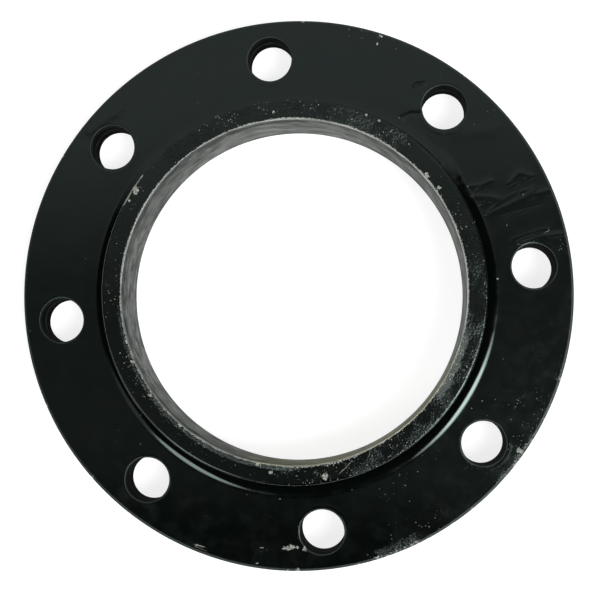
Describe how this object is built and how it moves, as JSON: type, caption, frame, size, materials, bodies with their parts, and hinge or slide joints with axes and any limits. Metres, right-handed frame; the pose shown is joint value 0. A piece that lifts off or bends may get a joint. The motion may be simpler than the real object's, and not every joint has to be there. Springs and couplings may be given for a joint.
{
  "type": "hubbed pipe flange",
  "caption": "Round open-bore pipe flange with a short hub on one side, a raised gasket face on the other and a ring of bolt holes; it joins a pipe end to a mating flange.",
  "frame": {"origin": "on the bore's axis in the plane of the raised gasket face, which is the base that the flange lies on", "axes": "+Z along the bore's axis from the gasket face to the hub's end; +X and +Y are the centre lines that the bolt holes straddle"},
  "size_m": [0.2794, 0.2794, 0.044],
  "materials": {
    "black_enamel": "glossy black brushed enamel over forged steel, with runs, sags and dust",
    "bare_steel": "bored and faced steel, dull grey with patches of scale and light rust"
  },
  "bodies": {
    "root": {"flange_forging": "black_enamel"}
  },
  "joints": []
}
